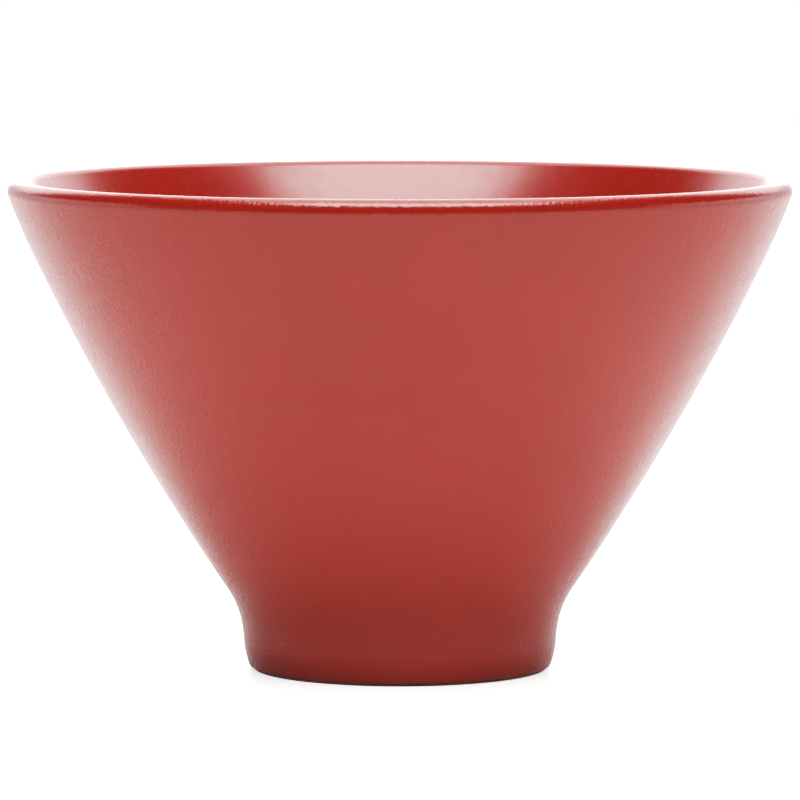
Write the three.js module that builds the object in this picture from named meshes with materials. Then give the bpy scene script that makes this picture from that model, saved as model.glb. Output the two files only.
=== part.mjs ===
// A flared gongfu tea cup on a turned foot, in millimetres, with +Z up and the foot ring standing on z = 0.
// It is one piece of fired clay under three coats of glaze: outside, inside, and in the hollow of the foot.
// Every piece is a half section, drawn as (radius, height), that is turned about the cup's axis.
import * as THREE from "three";

// Bowl, measured over the glaze
const RIM_DIAMETER = 76.2;
const CUP_HEIGHT = 47.8;
const LIP_THICKNESS = 2.2;
const WALL_BOW_RADIUS = 252; // the outside wall bows outwards as an arc of this radius
const UPPER_BOW_RADIUS = 60; // and draws in more tightly just below the lip
const UPPER_BOW_TURN = THREE.MathUtils.degToRad(5.5);
const INSIDE_BOW_RADIUS = 220; // the inside wall bows outwards too
const INSIDE_RIM_RADIUS = 60; // and rounds over towards the lip, so that the wall thins there
const INSIDE_RIM_TURN = THREE.MathUtils.degToRad(10);
const WALL_BASE_THICKNESS = 3.6; // wall just above the foot
const INSIDE_CORNER_RADIUS = 11; // between the inside wall and the floor
const FLOOR_THICKNESS = 4;

// Foot, measured over the glaze
const FOOT_DIAMETER = 30; // where the foot's sides would meet the table
const FOOT_TAPER = THREE.MathUtils.degToRad(5.2); // the foot's sides lean outwards on the way up
const FOOT_BOW_RADIUS = 10; // near the table they draw in as an arc of this radius
const FOOT_BOW_TURN = THREE.MathUtils.degToRad(13);
const FOOT_EDGE_RADIUS = 0.6;
const SHOULDER_HEIGHT = 6; // where the foot's side would meet the wall without the shoulder's rounding
const SHOULDER_RADIUS = 9.1;
const FOOT_RING_WIDTH = 2.8; // flat bare ring that stands on the table
const RECESS_DEPTH = 3.2;
const RECESS_DRAFT = THREE.MathUtils.degToRad(8); // the recess narrows on the way up
const RECESS_CORNER_RADIUS = 1.5;

// Glaze
const GLAZE_THICKNESS = 0.35;
const BARE_HEIGHT = 0.15; // the clay ring stands this far below the glaze

// Facets
const TURN_SEGMENTS = 60;
const EDGE_STEPS = 2;
const FOOT_BOW_STEPS = 2;
const SHOULDER_STEPS = 4;
const WALL_STEPS = 4;
const UPPER_BOW_STEPS = 2;
const LIP_STEPS = 4;
const INSIDE_RIM_STEPS = 2;
const FLOOR_CORNER_STEPS = 5;
const RECESS_CORNER_STEPS = 2;
const SAME_POINT = 1e-6;

const CREST = Math.PI / 2;
const DOWN = -Math.PI / 2;

function point(radius, height) {
  return new THREE.Vector2(radius, height);
}

function heading(angle) {
  return point(Math.cos(angle), Math.sin(angle));
}

function angleFrom(start, end) {
  return Math.atan2(end.y - start.y, end.x - start.x);
}

// The point where two circles cross, on the left of the line from the first centre to the second
function crossing(firstCentre, firstRadius, secondCentre, secondRadius) {
  const between = secondCentre.clone().sub(firstCentre);
  const distance = between.length();
  const along = (distance ** 2 + firstRadius ** 2 - secondRadius ** 2) / (2 * distance);
  const across = Math.sqrt(firstRadius ** 2 - along ** 2);
  const forward = between.normalize();
  const left = point(-forward.y, forward.x);
  return firstCentre.clone().addScaledVector(forward, along).addScaledVector(left, across);
}

// The point where a line first runs into a circle
function firstMeeting(start, direction, centre, radius) {
  const offset = start.clone().sub(centre);
  const along = offset.dot(direction);
  const distance = -along - Math.sqrt(along ** 2 - offset.lengthSq() + radius ** 2);
  return start.clone().addScaledVector(direction, distance);
}

function arc(centre, radius, from, to, steps) {
  const points = [];
  for (let step = 0; step <= steps; step += 1) {
    const angle = from + ((to - from) * step) / steps;
    points.push(centre.clone().addScaledVector(heading(angle), radius));
  }
  return points;
}

// Joins stretches of outline end to end, with one point where two of them meet
function chain(...stretches) {
  const points = stretches.flat();
  return points.filter((here, index) => index === 0 || here.distanceTo(points[index - 1]) > SAME_POINT);
}

// Lip: a full round that the outside and the inside wall both run into
const lipRadius = LIP_THICKNESS / 2;
const lipCentre = point(RIM_DIAMETER / 2 - lipRadius, CUP_HEIGHT - lipRadius);

// Outside wall: a slow arc from the top of the foot runs into a tighter one, which touches the lip's round.
// The bow arm leads from the slow arc's centre to the lip's, measured from the tighter arc's upper end.
const footSideOut = heading(-FOOT_TAPER);
const footSideUp = heading(CREST - FOOT_TAPER);
const footSideRadius = (height) => FOOT_DIAMETER / 2 + height * Math.tan(FOOT_TAPER);
const wallBase = point(footSideRadius(SHOULDER_HEIGHT), SHOULDER_HEIGHT);
const upperBowReach = UPPER_BOW_RADIUS - lipRadius;
const slowBowReach = WALL_BOW_RADIUS - UPPER_BOW_RADIUS;
const bowArm = point(upperBowReach, 0).addScaledVector(heading(-UPPER_BOW_TURN), slowBowReach);
const wallCentre = crossing(wallBase, WALL_BOW_RADIUS, lipCentre, bowArm.length());
const lipStart = angleFrom(wallCentre, lipCentre) - Math.atan2(bowArm.y, bowArm.x);
const upperBowStart = lipStart - UPPER_BOW_TURN;
const upperBowCentre = lipCentre.clone().addScaledVector(heading(lipStart), -upperBowReach);

// Shoulder: a hollow round that touches the foot's side and the outside wall
const besideFoot = point(FOOT_DIAMETER / 2, 0).addScaledVector(footSideOut, SHOULDER_RADIUS);
const shoulderReach = WALL_BOW_RADIUS + SHOULDER_RADIUS;
const shoulderCentre = firstMeeting(besideFoot, footSideUp, wallCentre, shoulderReach);

// Foot's lower end: an arc that touches the foot's side draws it in and runs into the round of the foot's
// edge, which touches the level where the glaze ends
const footBowEnd = -FOOT_TAPER - FOOT_BOW_TURN;
const footBowReach = FOOT_BOW_RADIUS - FOOT_EDGE_RADIUS;
const footBowHeight = BARE_HEIGHT + FOOT_EDGE_RADIUS - footBowReach * Math.sin(footBowEnd);
const footBowInset = FOOT_BOW_RADIUS / Math.cos(FOOT_TAPER);
const footBowCentre = point(footSideRadius(footBowHeight) - footBowInset, footBowHeight);
const edgeCentre = footBowCentre.clone().addScaledVector(heading(footBowEnd), footBowReach);
const ringOuterRadius = edgeCentre.x;
const ringInnerRadius = ringOuterRadius - FOOT_RING_WIDTH;

// Inside wall: an arc that keeps the wall's thickness at its base runs into one that is round the other way,
// which touches the lip's round. The rim arm leads from the lip's centre to the wall arc's centre.
const intoWall = wallCentre.clone().sub(wallBase).normalize();
const insideBase = wallBase.clone().addScaledVector(intoWall, WALL_BASE_THICKNESS);
const insideRimReach = INSIDE_RIM_RADIUS - lipRadius;
const insideBowReach = INSIDE_RIM_RADIUS + INSIDE_BOW_RADIUS;
const rimArm = point(-insideRimReach, 0).addScaledVector(heading(INSIDE_RIM_TURN), insideBowReach);
const insideCentre = crossing(insideBase, INSIDE_BOW_RADIUS, lipCentre, rimArm.length());
const insideLipEnd = angleFrom(lipCentre, insideCentre) - Math.atan2(rimArm.y, rimArm.x);
const insideRimEnd = insideLipEnd + INSIDE_RIM_TURN;
const insideRimCentre = lipCentre.clone().addScaledVector(heading(insideLipEnd), -insideRimReach);

// Inside corner: a round that touches the inside wall and the floor
const floorHeight = RECESS_DEPTH + FLOOR_THICKNESS;
const cornerHeight = floorHeight + INSIDE_CORNER_RADIUS;
const cornerReach = INSIDE_BOW_RADIUS - INSIDE_CORNER_RADIUS;
const cornerOffset = Math.sqrt(cornerReach ** 2 - (cornerHeight - insideCentre.y) ** 2);
const cornerCentre = point(insideCentre.x + cornerOffset, cornerHeight);

// Recess corner: a round that touches the recess's side and its ceiling
const recessCornerHeight = RECESS_DEPTH - RECESS_CORNER_RADIUS;
const recessSideRadius = ringInnerRadius - (recessCornerHeight - BARE_HEIGHT) * Math.tan(RECESS_DRAFT);
const recessCornerInset = RECESS_CORNER_RADIUS / Math.cos(RECESS_DRAFT);
const recessCornerCentre = point(recessSideRadius - recessCornerInset, recessCornerHeight);

// Outside surface, from under the foot's edge up to the lip's crest, sunk by a depth below the glazed one
function outsideSurface(depth) {
  const edge = arc(edgeCentre, FOOT_EDGE_RADIUS - depth, DOWN, footBowEnd, EDGE_STEPS);
  const footBow = arc(footBowCentre, FOOT_BOW_RADIUS - depth, footBowEnd, -FOOT_TAPER, FOOT_BOW_STEPS);
  const shoulderStart = Math.PI - FOOT_TAPER;
  const shoulderEnd = angleFrom(shoulderCentre, wallCentre);
  const shoulder = arc(shoulderCentre, SHOULDER_RADIUS + depth, shoulderStart, shoulderEnd, SHOULDER_STEPS);
  const wallStart = angleFrom(wallCentre, shoulderCentre);
  const wall = arc(wallCentre, WALL_BOW_RADIUS - depth, wallStart, upperBowStart, WALL_STEPS);
  const upperBow = arc(upperBowCentre, UPPER_BOW_RADIUS - depth, upperBowStart, lipStart, UPPER_BOW_STEPS);
  const lip = arc(lipCentre, lipRadius - depth, lipStart, CREST, LIP_STEPS);
  return chain(edge, footBow, shoulder, wall, upperBow, lip);
}

// Inside surface, from the lip's crest down to the middle of the floor
function insideSurface(depth) {
  const lip = arc(lipCentre, lipRadius - depth, CREST, insideLipEnd, LIP_STEPS);
  const rimRadius = INSIDE_RIM_RADIUS - depth;
  const rim = arc(insideRimCentre, rimRadius, insideLipEnd, insideRimEnd, INSIDE_RIM_STEPS);
  const wallStart = insideRimEnd - Math.PI;
  const wallEnd = angleFrom(insideCentre, cornerCentre);
  const wall = arc(insideCentre, INSIDE_BOW_RADIUS + depth, wallStart, wallEnd, WALL_STEPS);
  const corner = arc(cornerCentre, INSIDE_CORNER_RADIUS + depth, wallEnd, DOWN, FLOOR_CORNER_STEPS);
  return chain(lip, rim, wall, corner, [point(0, floorHeight - depth)]);
}

// Surface of the hollow under the foot, from the middle of its ceiling out and down to the bare ring
function recessSurface(depth) {
  const ceilingMiddle = point(0, RECESS_DEPTH + depth);
  const cornerRadius = RECESS_CORNER_RADIUS + depth;
  const corner = arc(recessCornerCentre, cornerRadius, CREST, RECESS_DRAFT, RECESS_CORNER_STEPS);
  const sideFoot = point(ringInnerRadius + depth / Math.cos(RECESS_DRAFT), BARE_HEIGHT);
  return chain([ceilingMiddle], corner, [sideFoot]);
}

// The clay runs under every coat at the glaze's depth, and only its foot ring is bare
function claySection() {
  const bareRing = [
    point(ringInnerRadius, BARE_HEIGHT),
    point(ringInnerRadius, 0),
    point(ringOuterRadius, 0),
  ];
  const recess = recessSurface(GLAZE_THICKNESS);
  const outside = outsideSurface(GLAZE_THICKNESS);
  const inside = insideSurface(GLAZE_THICKNESS);
  return chain(recess, bareRing, outside, inside);
}

function outerGlazeSection() {
  const face = outsideSurface(0);
  const back = outsideSurface(GLAZE_THICKNESS).reverse();
  return chain(face, back, [face[0]]);
}

function innerGlazeSection() {
  const face = insideSurface(0);
  const back = insideSurface(GLAZE_THICKNESS).reverse();
  return chain(back, face);
}

function recessGlazeSection() {
  const face = recessSurface(0);
  const back = recessSurface(GLAZE_THICKNESS).reverse();
  return chain(face, back);
}

// Turns a half section about the cup's axis
function turned(name, section, material) {
  const geometry = new THREE.LatheGeometry(section, TURN_SEGMENTS).rotateX(Math.PI / 2);
  const mesh = new THREE.Mesh(geometry, new THREE.MeshStandardMaterial(material));
  mesh.name = name;
  return mesh;
}

const cup = new THREE.Group();
cup.name = "gongfu_tea_cup";
cup.add(
  turned("clay_body", claySection(), { color: 0xe9e2d8, roughness: 0.8, metalness: 0 }),
  turned("outer_glaze", outerGlazeSection(), { color: 0xa8271b, roughness: 0.35, metalness: 0 }),
  turned("inner_glaze", innerGlazeSection(), { color: 0xa42015, roughness: 0.28, metalness: 0 }),
  turned("recess_glaze", recessGlazeSection(), { color: 0x9c2219, roughness: 0.4, metalness: 0 }),
);

export default cup;
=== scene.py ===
# A red-glazed gongfu tea cup, dressed over its CAD frame and set in a white studio, in metres with +Z up.
import cmath
import math

import bpy
import numpy as np
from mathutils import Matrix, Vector, noise


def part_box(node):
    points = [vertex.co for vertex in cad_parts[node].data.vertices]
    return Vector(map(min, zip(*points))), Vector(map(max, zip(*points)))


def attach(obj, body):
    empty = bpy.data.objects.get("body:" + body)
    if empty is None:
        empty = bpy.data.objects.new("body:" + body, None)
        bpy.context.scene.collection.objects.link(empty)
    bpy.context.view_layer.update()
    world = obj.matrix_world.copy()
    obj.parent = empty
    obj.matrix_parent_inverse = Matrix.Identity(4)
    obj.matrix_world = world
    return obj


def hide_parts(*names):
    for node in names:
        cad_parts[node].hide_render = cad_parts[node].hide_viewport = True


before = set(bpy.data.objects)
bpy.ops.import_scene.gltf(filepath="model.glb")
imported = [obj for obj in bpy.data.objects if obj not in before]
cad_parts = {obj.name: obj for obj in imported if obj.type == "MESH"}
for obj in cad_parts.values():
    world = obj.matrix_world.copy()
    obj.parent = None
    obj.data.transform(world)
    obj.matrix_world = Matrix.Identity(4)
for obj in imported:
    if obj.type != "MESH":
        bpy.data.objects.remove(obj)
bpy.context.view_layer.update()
MM = 0.001

# The coats' thickness, and the sizes that the frame gives
GLAZE_THICKNESS = 0.35 * MM
CUP_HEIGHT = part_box("outer_glaze")[1].z
BARE_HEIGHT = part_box("outer_glaze")[0].z  # the clay ring stands this far below the glaze
CREST_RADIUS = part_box("inner_glaze")[1].x  # the outer and the inner coat meet on the lip's crest
FLOOR_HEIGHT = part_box("inner_glaze")[0].z + GLAZE_THICKNESS
RECESS_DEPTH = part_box("recess_glaze")[1].z - GLAZE_THICKNESS

# Sizes of the section, as the solids have them
LIP_RADIUS = 1.1 * MM
WALL_BOW_RADIUS = 252 * MM
UPPER_BOW_RADIUS = 60 * MM
UPPER_BOW_TURN = math.radians(5.5)
INSIDE_BOW_RADIUS = 220 * MM
INSIDE_RIM_RADIUS = 60 * MM
INSIDE_RIM_TURN = math.radians(10)
WALL_BASE_THICKNESS = 3.6 * MM
INSIDE_CORNER_RADIUS = 11 * MM
FOOT_RADIUS = 15 * MM
FOOT_TAPER = math.radians(5.2)
FOOT_BOW_RADIUS = 10 * MM
FOOT_BOW_TURN = math.radians(13)
FOOT_EDGE_RADIUS = 0.6 * MM
SHOULDER_HEIGHT = 6 * MM
SHOULDER_RADIUS = 9.1 * MM
FOOT_RING_WIDTH = 2.8 * MM
RECESS_DRAFT = math.radians(8)
RECESS_CORNER_RADIUS = 1.5 * MM

# The glaze's own slight unevenness
UNEVEN_DEPTH = 0.015 * MM
UNEVEN_WAVELENGTH = 12 * MM
UNEVEN_RUN_IN = 2 * MM  # it fades out over this height towards the bare ring

# Fineness of the meshes
SEGMENTS = 288
WALL_STEP = 0.8 * MM
BACK_STEP = 1.6 * MM  # on the clay and on the backs of the coats
ROUND_STEP = 0.08 * MM
FOOT_BOW_STEP = 0.24 * MM
SAME_POINT = 1e-9  # points closer than this are one
ON_AXIS = 1e-7  # a ring of a smaller radius than this is one point on the axis

UP = math.pi / 2
DOWN = -math.pi / 2


# Half sections are drawn in the complex plane: radius is the real part and height the imaginary part
def heading(angle):
    return cmath.rect(1, angle)


def angle_from(start, end):
    return cmath.phase(end - start)


# The point where two circles cross, on the left of the line from the first centre to the second
def crossing(first_centre, first_radius, second_centre, second_radius):
    between = second_centre - first_centre
    distance = abs(between)
    along = (distance**2 + first_radius**2 - second_radius**2) / (2 * distance)
    across = math.sqrt(first_radius**2 - along**2)
    return first_centre + between / distance * complex(along, across)


# The point where a line first runs into a circle
def first_meeting(start, direction, centre, radius):
    offset = (start - centre) * direction.conjugate()
    distance = -offset.real - math.sqrt(radius**2 - offset.imag**2)
    return start + direction * distance


def arc(centre, radius, start, end, step):
    steps = max(2, round(abs(radius * (end - start)) / step))
    return centre + radius * np.exp(1j * np.linspace(start, end, steps + 1))


def line(start, end, step):
    steps = max(1, round(abs(end - start) / step))
    return np.linspace(start, end, steps + 1)


# Joins stretches of outline end to end, with one point where two of them meet
def chain(*stretches):
    points = np.concatenate(stretches)
    apart = np.abs(np.diff(points)) > SAME_POINT
    return points[np.concatenate([[True], apart])]


# Lip, outside wall, shoulder and foot, each touching the next
lip_centre = complex(CREST_RADIUS, CUP_HEIGHT - LIP_RADIUS)
foot_side_out = heading(-FOOT_TAPER)
foot_side_up = heading(UP - FOOT_TAPER)
wall_base = complex(FOOT_RADIUS + SHOULDER_HEIGHT * math.tan(FOOT_TAPER), SHOULDER_HEIGHT)
upper_bow_reach = UPPER_BOW_RADIUS - LIP_RADIUS
slow_bow_reach = WALL_BOW_RADIUS - UPPER_BOW_RADIUS
bow_arm = upper_bow_reach + slow_bow_reach * heading(-UPPER_BOW_TURN)
wall_centre = crossing(wall_base, WALL_BOW_RADIUS, lip_centre, abs(bow_arm))
lip_start = angle_from(wall_centre, lip_centre) - cmath.phase(bow_arm)
upper_bow_start = lip_start - UPPER_BOW_TURN
upper_bow_centre = lip_centre - upper_bow_reach * heading(lip_start)
beside_foot = FOOT_RADIUS + SHOULDER_RADIUS * foot_side_out
shoulder_centre = first_meeting(beside_foot, foot_side_up, wall_centre, WALL_BOW_RADIUS + SHOULDER_RADIUS)
foot_bow_end = -FOOT_TAPER - FOOT_BOW_TURN
foot_bow_reach = FOOT_BOW_RADIUS - FOOT_EDGE_RADIUS
foot_bow_height = BARE_HEIGHT + FOOT_EDGE_RADIUS - foot_bow_reach * math.sin(foot_bow_end)
foot_side_radius = FOOT_RADIUS + foot_bow_height * math.tan(FOOT_TAPER)
foot_bow_centre = complex(foot_side_radius - FOOT_BOW_RADIUS / math.cos(FOOT_TAPER), foot_bow_height)
edge_centre = foot_bow_centre + foot_bow_reach * heading(foot_bow_end)
ring_outer_radius = edge_centre.real
ring_inner_radius = ring_outer_radius - FOOT_RING_WIDTH

# Inside wall and the round between it and the floor
into_wall = (wall_centre - wall_base) / abs(wall_centre - wall_base)
inside_base = wall_base + WALL_BASE_THICKNESS * into_wall
inside_rim_reach = INSIDE_RIM_RADIUS - LIP_RADIUS
inside_bow_reach = INSIDE_RIM_RADIUS + INSIDE_BOW_RADIUS
rim_arm = inside_bow_reach * heading(INSIDE_RIM_TURN) - inside_rim_reach
inside_centre = crossing(inside_base, INSIDE_BOW_RADIUS, lip_centre, abs(rim_arm))
inside_lip_end = angle_from(lip_centre, inside_centre) - cmath.phase(rim_arm)
inside_rim_end = inside_lip_end + INSIDE_RIM_TURN
inside_rim_centre = lip_centre - inside_rim_reach * heading(inside_lip_end)
corner_height = FLOOR_HEIGHT + INSIDE_CORNER_RADIUS
corner_reach = INSIDE_BOW_RADIUS - INSIDE_CORNER_RADIUS
corner_offset = math.sqrt(corner_reach**2 - (corner_height - inside_centre.imag) ** 2)
corner_centre = complex(inside_centre.real + corner_offset, corner_height)

# Hollow under the foot
recess_corner_height = RECESS_DEPTH - RECESS_CORNER_RADIUS
recess_side_radius = ring_inner_radius - (recess_corner_height - BARE_HEIGHT) * math.tan(RECESS_DRAFT)
recess_corner_inset = RECESS_CORNER_RADIUS / math.cos(RECESS_DRAFT)
recess_corner_centre = complex(recess_side_radius - recess_corner_inset, recess_corner_height)


# Outside surface, from under the foot's edge up to the lip's crest, sunk by a depth below the glazed one
def outside_surface(depth, wall_step):
    edge = arc(edge_centre, FOOT_EDGE_RADIUS - depth, DOWN, foot_bow_end, ROUND_STEP)
    foot_bow = arc(foot_bow_centre, FOOT_BOW_RADIUS - depth, foot_bow_end, -FOOT_TAPER, FOOT_BOW_STEP)
    shoulder_end = angle_from(shoulder_centre, wall_centre)
    shoulder_radius = SHOULDER_RADIUS + depth
    shoulder = arc(shoulder_centre, shoulder_radius, math.pi - FOOT_TAPER, shoulder_end, wall_step)
    side = line(foot_bow[-1], shoulder[0], wall_step)
    wall_start = angle_from(wall_centre, shoulder_centre)
    wall = arc(wall_centre, WALL_BOW_RADIUS - depth, wall_start, upper_bow_start, wall_step)
    upper_bow = arc(upper_bow_centre, UPPER_BOW_RADIUS - depth, upper_bow_start, lip_start, wall_step)
    lip = arc(lip_centre, LIP_RADIUS - depth, lip_start, UP, ROUND_STEP)
    return chain(edge, foot_bow, side, shoulder, wall, upper_bow, lip)


# Inside surface, from the lip's crest down to the middle of the floor
def inside_surface(depth, wall_step):
    lip = arc(lip_centre, LIP_RADIUS - depth, UP, inside_lip_end, ROUND_STEP)
    rim = arc(inside_rim_centre, INSIDE_RIM_RADIUS - depth, inside_lip_end, inside_rim_end, wall_step)
    wall_end = angle_from(inside_centre, corner_centre)
    wall_radius = INSIDE_BOW_RADIUS + depth
    wall = arc(inside_centre, wall_radius, inside_rim_end - math.pi, wall_end, wall_step)
    corner = arc(corner_centre, INSIDE_CORNER_RADIUS + depth, wall_end, DOWN, wall_step)
    floor = line(corner[-1], 1j * (FLOOR_HEIGHT - depth), wall_step)
    return chain(lip, rim, wall, corner, floor)


# Surface of the hollow under the foot, from the middle of its ceiling out and down to the bare ring
def recess_surface(depth, wall_step):
    corner_radius = RECESS_CORNER_RADIUS + depth
    corner = arc(recess_corner_centre, corner_radius, UP, RECESS_DRAFT, ROUND_STEP)
    ceiling = line(1j * (RECESS_DEPTH + depth), corner[0], wall_step)
    side_foot = complex(ring_inner_radius + depth / math.cos(RECESS_DRAFT), BARE_HEIGHT)
    side = line(corner[-1], side_foot, wall_step)
    return chain(ceiling, corner, side)


# Turning
def normals_along(section):
    tangent = np.gradient(section)
    return -1j * tangent / np.abs(tangent)


# Rings of points, one for each point of the half section; swell moves each point along the section's normal
def turned_points(section, swell=None):
    rings = np.repeat(section[:, None], SEGMENTS, axis=1)
    if swell is not None:
        rings = rings + normals_along(section)[:, None] * swell
    angles = np.linspace(0, 2 * math.pi, SEGMENTS, endpoint=False)
    return np.stack([rings.real * np.cos(angles), rings.real * np.sin(angles), rings.imag], axis=-1)


# Normals of a turned surface from its own points, so that two pieces cut from it shade as one; an end on the
# axis faces as the ring beside it does
def surface_normals(points):
    around = np.roll(points, -1, axis=1) - np.roll(points, 1, axis=1)
    along = np.gradient(points, axis=0)
    normals = np.cross(around, along)
    for end, beside in ((0, 1), (-1, -2)):
        if np.allclose(points[end], points[end, 0]):
            normals[end] = normals[beside].mean(axis=0)
    return normals / np.linalg.norm(normals, axis=-1, keepdims=True)


# How far the glaze stands out or in at each point of a turned section
def unevenness(section):
    points = turned_points(section) / UNEVEN_WAVELENGTH
    waves = [noise.noise(Vector(point)) for point in points.reshape(-1, 3)]
    return UNEVEN_DEPTH * np.array(waves).reshape(points.shape[:2])


# A skin of quads over rings of points, from the first to the last, and back to the first if it is closed; a
# ring on the axis becomes one point, and where a ring brings no normals, Blender's own smooth ones are used
def skin(name, rings, ring_normals, closed):
    vertices = []
    first_index = []
    for ring in rings:
        first_index.append(len(vertices))
        on_axis = np.hypot(ring[0, 0], ring[0, 1]) < ON_AXIS
        vertices.extend(ring[:1] if on_axis else ring)
    counts = np.diff(first_index + [len(vertices)])
    faces = []
    normals = []
    row_pairs = [(row, row + 1) for row in range(len(rings) - 1)]
    if closed:
        row_pairs.append((len(rings) - 1, 0))
    for below, above in row_pairs:
        if counts[below] == 1 and counts[above] == 1:
            continue
        for here in range(SEGMENTS):
            following = (here + 1) % SEGMENTS
            corners = [(below, here), (below, following), (above, following), (above, here)]
            if counts[below] == 1:
                corners = corners[1:]
            elif counts[above] == 1:
                corners = corners[:3]
            faces.append([first_index[row] + spot % counts[row] for row, spot in corners])
            shown = ring_normals[below] is not None and ring_normals[above] is not None
            normals.extend(ring_normals[row][spot] if shown else (0, 0, 0) for row, spot in corners)
    mesh = bpy.data.meshes.new(name)
    mesh.from_pydata(vertices, [], faces)
    mesh.shade_smooth()
    mesh.normals_split_custom_set(normals)
    piece = bpy.data.objects.new(name, mesh)
    bpy.context.collection.objects.link(piece)
    return piece


# A coat of glaze: turned points with their normals on its face, and the clay's surface on its back
def coat(name, face, face_normals, back_section):
    back = turned_points(back_section[::-1])
    return skin(name, [*face, *back], [*face_normals, *[None] * len(back)], closed=True)


# Puts a piece in the frame in place of a CAD node
def dress(piece, node, material):
    piece.data.materials.append(material)
    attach(piece, "root")
    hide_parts(node)


# Colours and textures of the glaze
WALL_RED = (0.347, 0.0275, 0.0115)
DEEP_RED = (0.2, 0.0125, 0.0065)  # the red is darker inside the bowl and over the lip than on the outside wall
DEEPENING_START = 1.8 * MM  # the wall's red deepens between these two heights below the crest
DEEPENING_END = 0.4 * MM
CLOUD_SIZE = 14 * MM
CLOUD_CONTRAST = 0.03
MOTTLE_SIZE = 1.6 * MM
MOTTLE_ROUGHNESS = 0.02  # the gloss varies by this much either way
PEEL_SIZE = 0.4 * MM
LIP_PEEL_SHARE = 0.7  # the orange peel keeps this share of its depth where the glaze runs thin on the lip

# Colours and textures of the clay
TAN_CLAY = (0.72, 0.64, 0.55)
PALE_CLAY = (0.82, 0.78, 0.72)
STAIN_SIZE = 6 * MM
GRAIN_SIZE = 0.25 * MM
GRAIN_DEPTH = 0.03 * MM
SMOOTH_CLAY_ROUGHNESS = 0.7
ROUGH_CLAY_ROUGHNESS = 0.9

# Most values of a noise field lie between these
NOISE_LOW = 0.3
NOISE_HIGH = 0.7


def new_material(name):
    material = bpy.data.materials.new(name)
    material.use_nodes = True
    return material, material.node_tree, material.node_tree.nodes["Principled BSDF"]


def add_node(tree, kind, inputs=(), **settings):
    node = tree.nodes.new(kind)
    for setting, value in settings.items():
        setattr(node, setting, value)
    for socket, value in dict(inputs).items():
        if isinstance(value, bpy.types.NodeSocket):
            tree.links.new(value, node.inputs[socket])
        else:
            node.inputs[socket].default_value = value
    return node


def noise_field(tree, place, size, detail):
    settings = {"Vector": place, "Scale": 1 / size, "Detail": detail}
    return add_node(tree, "ShaderNodeTexNoise", settings).outputs["Fac"]


# Spreads a noise field over the range from low to high
def spread(tree, field, low, high):
    inputs = {"Value": field, "From Min": NOISE_LOW, "From Max": NOISE_HIGH, "To Min": low, "To Max": high}
    return add_node(tree, "ShaderNodeMapRange", inputs).outputs["Result"]


def blend_colours(tree, share, first, second):
    mix = add_node(tree, "ShaderNodeMix", data_type="RGBA")
    tree.links.new(share, mix.inputs["Factor"])
    for socket, value in (("A", first), ("B", second)):
        target = next(s for s in mix.inputs if s.name == socket and s.type == "RGBA")
        if isinstance(value, bpy.types.NodeSocket):
            tree.links.new(value, target)
        else:
            target.default_value = (*value, 1)
    return next(s for s in mix.outputs if s.type == "RGBA")


# A glaze with soft clouds, a mottled gloss and an orange peel, whose red changes on the way up to the lip
def glaze(name, wall_red, lip_red, roughness, peel_depth):
    material, tree, shader = new_material(name)
    place = add_node(tree, "ShaderNodeTexCoord").outputs["Object"]
    height = add_node(tree, "ShaderNodeSeparateXYZ", {"Vector": place}).outputs["Z"]
    cloud = noise_field(tree, place, CLOUD_SIZE, detail=2)
    mottle = noise_field(tree, place, MOTTLE_SIZE, detail=3)
    peel = noise_field(tree, place, PEEL_SIZE, detail=1.5)
    dark = tuple((1 - CLOUD_CONTRAST) * part for part in wall_red)
    light = tuple((1 + CLOUD_CONTRAST) * part for part in wall_red)
    clouded = blend_colours(tree, spread(tree, cloud, 0, 1), dark, light)
    ramp = {"Value": height, "From Min": CUP_HEIGHT - DEEPENING_START, "From Max": CUP_HEIGHT - DEEPENING_END}
    at_lip = add_node(tree, "ShaderNodeMapRange", ramp, interpolation_type="SMOOTHSTEP").outputs["Result"]
    tree.links.new(blend_colours(tree, at_lip, clouded, lip_red), shader.inputs["Base Color"])
    satin = spread(tree, mottle, roughness - MOTTLE_ROUGHNESS, roughness + MOTTLE_ROUGHNESS)
    tree.links.new(satin, shader.inputs["Roughness"])
    calmed = {"Value": at_lip, "To Min": 1, "To Max": LIP_PEEL_SHARE}
    peel_share = add_node(tree, "ShaderNodeMapRange", calmed).outputs["Result"]
    relief = {"Height": peel, "Distance": peel_depth, "Strength": peel_share}
    bump = add_node(tree, "ShaderNodeBump", relief)
    tree.links.new(bump.outputs["Normal"], shader.inputs["Normal"])
    return material


def bare_clay(name):
    material, tree, shader = new_material(name)
    place = add_node(tree, "ShaderNodeTexCoord").outputs["Object"]
    grain = noise_field(tree, place, GRAIN_SIZE, detail=3)
    stain = noise_field(tree, place, STAIN_SIZE, detail=2)
    body = blend_colours(tree, spread(tree, stain, 0, 1), TAN_CLAY, PALE_CLAY)
    tree.links.new(body, shader.inputs["Base Color"])
    matt = spread(tree, grain, SMOOTH_CLAY_ROUGHNESS, ROUGH_CLAY_ROUGHNESS)
    tree.links.new(matt, shader.inputs["Roughness"])
    bump = add_node(tree, "ShaderNodeBump", {"Height": grain, "Distance": GRAIN_DEPTH, "Strength": 1})
    tree.links.new(bump.outputs["Normal"], shader.inputs["Normal"])
    return material


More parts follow.
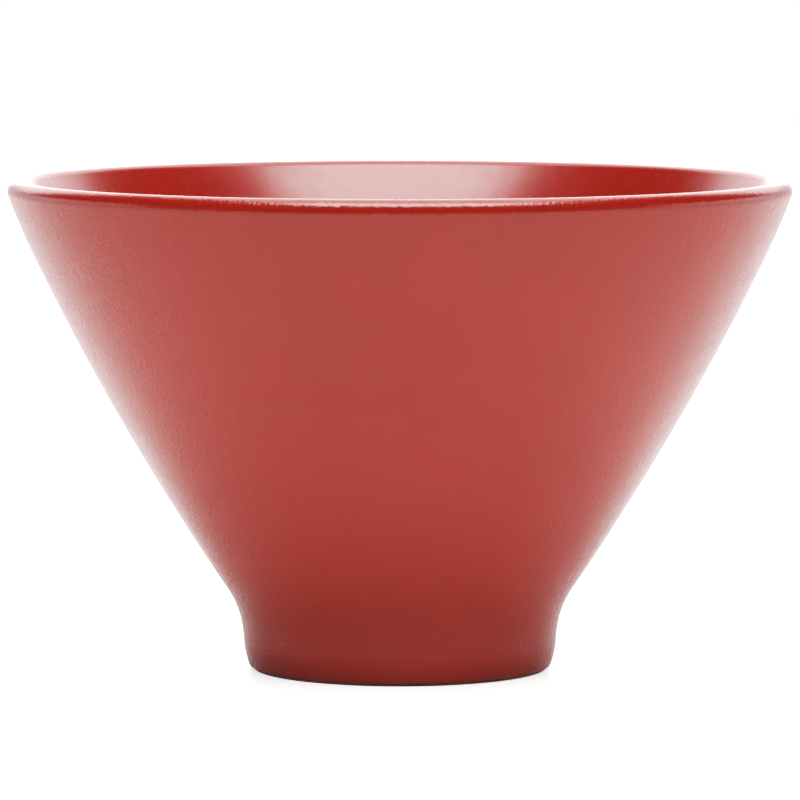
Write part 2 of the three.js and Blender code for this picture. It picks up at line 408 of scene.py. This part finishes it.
# The glazed surface, outside and inside in one, and the clay's surfaces that the coats lie on
outside = outside_surface(0, WALL_STEP)
glazed = chain(outside, inside_surface(0, WALL_STEP))
crest_row = len(outside) - 1
run_in = np.clip((glazed.imag - BARE_HEIGHT) / UNEVEN_RUN_IN, 0, 1)
run_in[crest_row:] = 1
glazed_points = turned_points(glazed, unevenness(glazed) * run_in[:, None])
glazed_points[-1] = (0, 0, FLOOR_HEIGHT)  # the middle of the floor stays on the axis
glazed_normals = surface_normals(glazed_points)
outside_clay = outside_surface(GLAZE_THICKNESS, BACK_STEP)
inside_clay = inside_surface(GLAZE_THICKNESS, BACK_STEP)
recess_clay = recess_surface(GLAZE_THICKNESS, BACK_STEP)

# Outer coat
outer_face = slice(0, crest_row + 1)
outer_coat = coat("outer_glaze_coat", glazed_points[outer_face], glazed_normals[outer_face], outside_clay)
outer_glaze = glaze("outer_glaze_red", WALL_RED, DEEP_RED, roughness=0.24, peel_depth=0.06 * MM)
dress(outer_coat, "outer_glaze", outer_glaze)

# Inner coat
inner_face = slice(crest_row, len(glazed))
inner_coat = coat("inner_glaze_coat", glazed_points[inner_face], glazed_normals[inner_face], inside_clay)
inner_glaze = glaze("inner_glaze_red", DEEP_RED, DEEP_RED, roughness=0.27, peel_depth=0.004 * MM)
dress(inner_coat, "inner_glaze", inner_glaze)

# Coat in the hollow under the foot
recess_points = turned_points(recess_surface(0, WALL_STEP))
recess_coat = coat("recess_glaze_coat", recess_points, surface_normals(recess_points), recess_clay)
recess_glaze = glaze("recess_glaze_red", WALL_RED, WALL_RED, roughness=0.36, peel_depth=0.01 * MM)
dress(recess_coat, "recess_glaze", recess_glaze)

# Clay body
bare_ring = chain(
    line(complex(ring_inner_radius, BARE_HEIGHT), complex(ring_inner_radius, 0), WALL_STEP),
    line(complex(ring_inner_radius, 0), complex(ring_outer_radius, 0), WALL_STEP),
)
clay_rings = turned_points(chain(recess_clay, bare_ring, outside_clay, inside_clay))
clay_body = skin("clay_body_turned", clay_rings, [None] * len(clay_rings), closed=False)
dress(clay_body, "clay_body", bare_clay("bare_clay"))


# Floor of the studio, measured from the cup's axis, with the camera towards -Y
ROOM_REACH = 1.2  # to the sides and to the back
FLOOR_FRONT = -0.16  # the floor stops short of the camera, so that the lower wall reflects a dark room there
FLOOR_WHITES = ((0.63, 0.63, 0.63), (0.65, 0.65, 0.65))
FLOOR_CLOUD_SIZE = 0.4
FLOOR_ROUGHNESS = 0.45
FLOOR_LIFT = 0.6  # the camera sees the floor brighter by this, so its shadow stays faint

# Panels of light
WHITE = (1, 1, 1)
PALE_BLUE = (0.96, 0.94, 1)  # the wide low panels are a little cool, as the photo's lavender edges are
CEILING_HEIGHT = 1.05
CEILING_SHIFT = 0.04  # the panels overhead hang a little to the right
SOFTBOX_FRONT = -0.85
CEILING_FRONT = -0.12  # where the softbox ends and the dimmer ceiling begins
CEILING_BACK = 1.05
BACK_TOP = 1.15
HORIZON_TOP = 0.35  # where the low panels at the back end and the upper one begins
HORIZON_MIDDLE_GAP = 0.01  # the strip in the middle stands this far before the wide low panel
SIDE_FRONT = -0.2
SIDE_TOP = 0.3

# Camera, and pairs of a scene value and the value that the picture shows for it
CAMERA_DISTANCE = 0.593
CAMERA_HEIGHT = 0.0781
CAMERA_PITCH = math.radians(5)
CAMERA_LENS = 274.9  # this and the sensor's width are in millimetres
SENSOR_WIDTH = 36
TONE_POINTS = [(0.03, 0.024), (0.06, 0.053), (0.12, 0.12), (0.25, 0.314), (0.45, 0.57), (0.7, 0.776)]
ALL_CHANNELS = 3  # the curve that goes for red, green and blue together


# A sheet of satin white
def studio_floor():
    mesh = bpy.data.meshes.new("studio_floor")
    corners = [(-ROOM_REACH, FLOOR_FRONT, 0), (ROOM_REACH, FLOOR_FRONT, 0)]
    corners += [(ROOM_REACH, ROOM_REACH, 0), (-ROOM_REACH, ROOM_REACH, 0)]
    mesh.from_pydata(corners, [], [(0, 1, 2, 3)])
    floor = bpy.data.objects.new("studio_floor", mesh)
    bpy.context.collection.objects.link(floor)
    material, tree, shader = new_material("studio_floor_white")
    place = add_node(tree, "ShaderNodeTexCoord").outputs["Object"]
    cloud = noise_field(tree, place, FLOOR_CLOUD_SIZE, detail=2)
    white = blend_colours(tree, spread(tree, cloud, 0, 1), *FLOOR_WHITES)
    tree.links.new(white, shader.inputs["Base Color"])
    shader.inputs["Roughness"].default_value = FLOOR_ROUGHNESS
    seen = add_node(tree, "ShaderNodeLightPath").outputs["Is Camera Ray"]
    lift = add_node(tree, "ShaderNodeMapRange", {"Value": seen, "To Max": FLOOR_LIFT}).outputs["Result"]
    shader.inputs["Emission Color"].default_value = (*WHITE, 1)
    tree.links.new(lift, shader.inputs["Emission Strength"])
    mesh.materials.append(material)


# A panel of light at a place, turned to face a point; its radiance is the same all over
def light_panel(name, place, aim, width, depth, radiance, colour=WHITE):
    light = bpy.data.lights.new(name, "AREA")
    light.shape = "RECTANGLE"
    light.size = width
    light.size_y = depth
    light.energy = radiance * math.pi * width * depth
    light.color = colour
    lamp = bpy.data.objects.new(name, light)
    lamp.location = place
    lamp.rotation_euler = (Vector(place) - Vector(aim)).to_track_quat("Z", "Y").to_euler()
    lamp.visible_camera = False
    bpy.context.collection.objects.link(lamp)


# A level panel overhead, from a front to a back edge
def ceiling_light(name, front, back, width, radiance):
    middle = (front + back) / 2
    place = (CEILING_SHIFT, middle, CEILING_HEIGHT)
    light_panel(name, place, (CEILING_SHIFT, middle, 0), width, back - front, radiance)


# An upright panel behind the cup, from a lower to an upper edge
def back_light(name, distance, bottom, top, width, radiance, colour=WHITE):
    middle = (bottom + top) / 2
    light_panel(name, (0, distance, middle), (0, 0, middle), width, top - bottom, radiance, colour)


# A low upright panel at one side of the floor
def side_light(name, x, radiance):
    middle = (SIDE_FRONT + ROOM_REACH) / 2
    height = SIDE_TOP / 2
    width = ROOM_REACH - SIDE_FRONT
    light_panel(name, (x, middle, height), (0, middle, height), width, SIDE_TOP, radiance, PALE_BLUE)


# A dark room, which the camera sees as plain white
def surroundings():
    world = bpy.data.worlds.new("white_studio")
    world.use_nodes = True
    tree = world.node_tree
    seen = add_node(tree, "ShaderNodeLightPath").outputs["Is Camera Ray"]
    background = tree.nodes["Background"]
    background.inputs["Color"].default_value = (*WHITE, 1)
    tree.links.new(seen, background.inputs["Strength"])
    bpy.context.scene.world = world


def photo_camera():
    data = bpy.data.cameras.new("photo_camera")
    data.lens = CAMERA_LENS
    data.sensor_width = SENSOR_WIDTH
    data.clip_start = 0.01
    data.clip_end = 50
    eye = bpy.data.objects.new("photo_camera", data)
    eye.location = (0, -CAMERA_DISTANCE, CAMERA_HEIGHT)
    eye.rotation_euler = (math.pi / 2 - CAMERA_PITCH, 0, 0)
    bpy.context.collection.objects.link(eye)
    bpy.context.scene.camera = eye


# The photo's tone: dark values a little darker, middle ones brighter, and a soft shoulder below white
def tone():
    view = bpy.context.scene.view_settings
    view.view_transform = "Standard"
    view.use_curve_mapping = True
    curve = view.curve_mapping.curves[ALL_CHANNELS]
    for scene_value, shown_value in TONE_POINTS:
        curve.points.new(scene_value, shown_value)
    view.curve_mapping.update()


studio_floor()
ceiling_light("overhead_softbox", SOFTBOX_FRONT, CEILING_FRONT, width=1.04, radiance=10.4)
ceiling_light("ceiling_panel", CEILING_FRONT, CEILING_BACK, width=0.98, radiance=3)
back_light("back_panel", ROOM_REACH, HORIZON_TOP, BACK_TOP, width=2.2, radiance=2.5)
back_light("horizon_back", ROOM_REACH, 0, HORIZON_TOP, width=2.4, radiance=1, colour=PALE_BLUE)
back_light("horizon_middle", ROOM_REACH - HORIZON_MIDDLE_GAP, 0, HORIZON_TOP, width=0.56, radiance=2.5)
side_light("horizon_left", -ROOM_REACH, radiance=1.6)
side_light("horizon_right", ROOM_REACH, radiance=1.8)
surroundings()
photo_camera()
tone()
